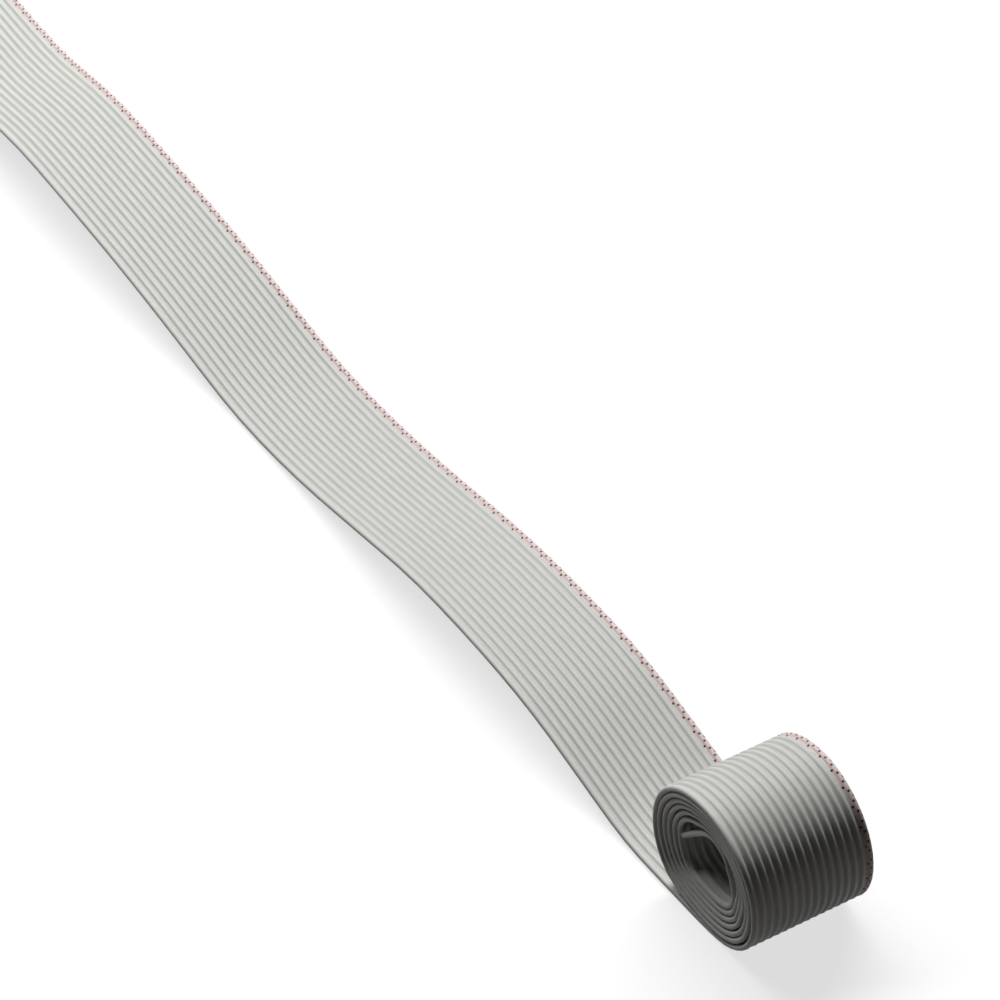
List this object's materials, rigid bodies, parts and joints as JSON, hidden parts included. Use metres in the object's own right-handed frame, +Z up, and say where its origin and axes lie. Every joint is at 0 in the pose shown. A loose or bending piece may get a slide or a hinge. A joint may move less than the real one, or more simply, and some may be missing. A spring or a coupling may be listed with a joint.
{
  "type": "ribbon cable",
  "caption": "Flat ribbed multi-way ribbon cable with a marked edge, wound into a loose roll at one end and trailing off straight to a plain cut end",
  "frame": {"origin": "on the floor, under the middle of the cable's overall box", "axes": "+X along the run towards the roll, +Y across the cable towards its marked edge, +Z up"},
  "size_m": [0.2994, 0.0204, 0.0249],
  "materials": {
    "insulation": "satin",
    "conductor": "satin"
  },
  "bodies": {
    "root": {"insulation": "insulation", "conductor_01": "conductor", "conductor_02": "conductor", "conductor_03": "conductor", "conductor_04": "conductor", "conductor_05": "conductor", "conductor_06": "conductor", "conductor_07": "conductor", "conductor_08": "conductor", "conductor_09": "conductor", "conductor_10": "conductor", "conductor_11": "conductor", "conductor_12": "conductor", "conductor_13": "conductor", "conductor_14": "conductor", "conductor_15": "conductor", "conductor_16": "conductor"}
  },
  "joints": []
}
